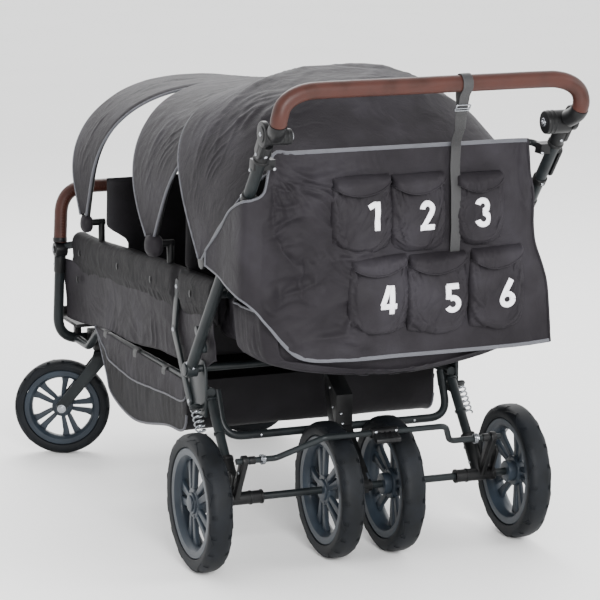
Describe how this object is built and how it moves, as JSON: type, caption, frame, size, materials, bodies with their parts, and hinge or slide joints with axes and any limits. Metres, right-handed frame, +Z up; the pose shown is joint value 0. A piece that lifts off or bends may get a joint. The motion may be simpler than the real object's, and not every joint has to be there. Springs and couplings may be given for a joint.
{
  "type": "multi seat pushchair",
  "caption": "Long multi-row daycare pushchair with folding hoods, slung basket, swivel front wheels, paired rear wheels and a folding handle frame.",
  "frame": {"origin": "centre of the bounding box's base, on the floor", "axes": "+Z up, +X towards the driver's left, +Y towards the rear, where the handlebar is"},
  "size_m": [0.8404, 1.5842, 1.0758],
  "materials": {
    "frame": "satin dark green-grey paint",
    "black_plastic": "moulded, fine grain",
    "steel": "bright zinc",
    "rim": "satin grey",
    "tyre": "foam-filled rubber",
    "leather": "stitched brown artificial leather",
    "cloth": "charcoal woven polyester",
    "webbing": "woven strap"
  },
  "bodies": {
    "chassis": {"rear_axle": "black_plastic", "rear_leg_left": "frame", "rear_leg_right": "frame", "spring_left": "steel", "spring_right": "steel", "lower_rail_left": "frame", "lower_rail_right": "frame", "pivot_shaft": "steel", "rear_cross_tube": "frame", "centre_leg": "black_plastic", "front_frame": "frame", "footrest": "black_plastic", "swivel_housing_left": "black_plastic", "swivel_housing_right": "black_plastic", "side_rail_left": "frame", "side_rail_right": "frame", "side_strut_left": "frame", "side_strut_right": "frame", "front_hood_rear_bow": "black_plastic", "middle_hood_rear_bow": "black_plastic", "front_hood": "cloth", "middle_hood": "cloth", "rear_hood": "cloth", "side_wall_left": "cloth", "side_wall_right": "cloth", "front_seat": "cloth", "middle_seat": "cloth", "rear_tub": "cloth", "basket": "cloth", "rear_panel": "cloth"},
    "handle_frame": {"handle_tube_left": "frame", "handle_tube_right": "frame", "handle_cross_tube": "frame", "ratchet_left": "black_plastic", "ratchet_right": "black_plastic"},
    "handlebar": {"handlebar_core": "black_plastic", "handlebar_grip": "leather", "strap": "webbing"},
    "release_lever": {"fold_release_lever": "black_plastic"},
    "fold_link_left_body": {"fold_link_left": "frame"},
    "fold_link_right_body": {"fold_link_right": "frame"},
    "brake": {"brake_bar": "frame"},
    "bumper": {"bumper_bar": "leather"},
    "front_bow": {"front_hood_bow": "black_plastic"},
    "middle_bow": {"middle_hood_bow": "black_plastic"},
    "rear_bow": {"rear_hood_bow": "black_plastic"},
    "caster_left": {"caster_fork_left": "frame"},
    "caster_right": {"caster_fork_right": "frame"},
    "wheel_rear_outer_left": {"rim_rear_outer_left": "rim", "tyre_rear_outer_left": "tyre"},
    "wheel_rear_inner_left": {"rim_rear_inner_left": "rim", "tyre_rear_inner_left": "tyre"},
    "wheel_rear_inner_right": {"rim_rear_inner_right": "rim", "tyre_rear_inner_right": "tyre"},
    "wheel_rear_outer_right": {"rim_rear_outer_right": "rim", "tyre_rear_outer_right": "tyre"},
    "wheel_front_left": {"rim_front_left": "rim", "tyre_front_left": "tyre"},
    "wheel_front_right": {"rim_front_right": "rim", "tyre_front_right": "tyre"}
  },
  "joints": [
    {"name": "frame_fold", "type": "hinge", "parent": "chassis", "child": "handle_frame", "pos_m": [-0.02424, 0.23889, 0.397], "axis": [1, 0, 0], "range_deg": [0, 108], "deforming": ["front_hood", "front_hood_bow", "front_hood_rear_bow", "middle_hood", "middle_hood_bow", "middle_hood_rear_bow", "rear_hood", "rear_hood_bow", "rear_panel", "strap", "front_seat"]},
    {"name": "handlebar_tilt", "type": "hinge", "parent": "handle_frame", "child": "handlebar", "pos_m": [-0.02424, 0.70389, 0.957], "axis": [1, 0, 0], "range_deg": [-40, 60], "deforming": ["strap"]},
    {"name": "fold_release", "type": "hinge", "parent": "handle_frame", "child": "release_lever", "pos_m": [-0.36424, 0.64775, 0.88938], "axis": [1, 0, 0], "range_deg": [0, 15]},
    {"name": "fold_link_left_pivot", "type": "hinge", "parent": "chassis", "child": "fold_link_left_body", "pos_m": [0.27775, 0.17989, 0.385], "axis": [1, 0, 0], "range_deg": [0, 54]},
    {"name": "fold_link_right_pivot", "type": "hinge", "parent": "chassis", "child": "fold_link_right_body", "pos_m": [-0.32625, 0.17989, 0.385], "axis": [1, 0, 0], "range_deg": [0, 54]},
    {"name": "brake_press", "type": "hinge", "parent": "chassis", "child": "brake", "pos_m": [-0.02424, 0.46089, 0.243], "axis": [-1, 0, 0], "range_deg": [0, 25]},
    {"name": "bumper_drop", "type": "hinge", "parent": "chassis", "child": "bumper", "pos_m": [-0.02424, -0.68211, 0.505], "axis": [1, 0, 0], "range_deg": [0, 90]},
    {"name": "front_hood_fold", "type": "hinge", "parent": "chassis", "child": "front_bow", "pos_m": [-0.02424, -0.47711, 0.602], "axis": [-1, 0, 0], "range_deg": [0, 45], "deforming": ["front_hood"]},
    {"name": "middle_hood_fold", "type": "hinge", "parent": "chassis", "child": "middle_bow", "pos_m": [-0.02424, 0.01589, 0.632], "axis": [-1, 0, 0], "range_deg": [0, 45], "deforming": ["middle_hood"]},
    {"name": "rear_hood_fold", "type": "hinge", "parent": "chassis", "child": "rear_bow", "pos_m": [-0.02424, 0.34689, 0.652], "axis": [-1, 0, 0], "range_deg": [0, 60], "deforming": ["rear_hood"]},
    {"name": "rear_outer_left_spin", "type": "hinge", "parent": "chassis", "child": "wheel_rear_outer_left", "pos_m": [0.34075, 0.40289, 0.147], "axis": [1, 0, 0], "continuous": true},
    {"name": "rear_inner_left_spin", "type": "hinge", "parent": "chassis", "child": "wheel_rear_inner_left", "pos_m": [0.04575, 0.40289, 0.147], "axis": [1, 0, 0], "continuous": true},
    {"name": "rear_inner_right_spin", "type": "hinge", "parent": "chassis", "child": "wheel_rear_inner_right", "pos_m": [-0.09424, 0.40289, 0.147], "axis": [1, 0, 0], "continuous": true},
    {"name": "rear_outer_right_spin", "type": "hinge", "parent": "chassis", "child": "wheel_rear_outer_right", "pos_m": [-0.38925, 0.40289, 0.147], "axis": [1, 0, 0], "continuous": true},
    {"name": "caster_left_swivel", "type": "hinge", "parent": "chassis", "child": "caster_left", "pos_m": [0.21476, -0.64111, 0.27], "axis": [0, 0, 1], "continuous": true},
    {"name": "front_left_spin", "type": "hinge", "parent": "caster_left", "child": "wheel_front_left", "pos_m": [0.30747, -0.67857, 0.116], "axis": [-0.3746, -0.9272, 0], "continuous": true},
    {"name": "caster_right_swivel", "type": "hinge", "parent": "chassis", "child": "caster_right", "pos_m": [-0.26325, -0.64111, 0.27], "axis": [0, 0, 1], "continuous": true},
    {"name": "front_right_spin", "type": "hinge", "parent": "caster_right", "child": "wheel_front_right", "pos_m": [-0.18553, -0.70404, 0.116], "axis": [-0.6293, -0.7771, 0], "continuous": true}
  ],
  "couplings": [
    {"joint": "fold_link_left_pivot", "follows": "frame_fold", "ratio": 0.5},
    {"joint": "fold_link_right_pivot", "follows": "frame_fold", "ratio": 0.5}
  ]
}
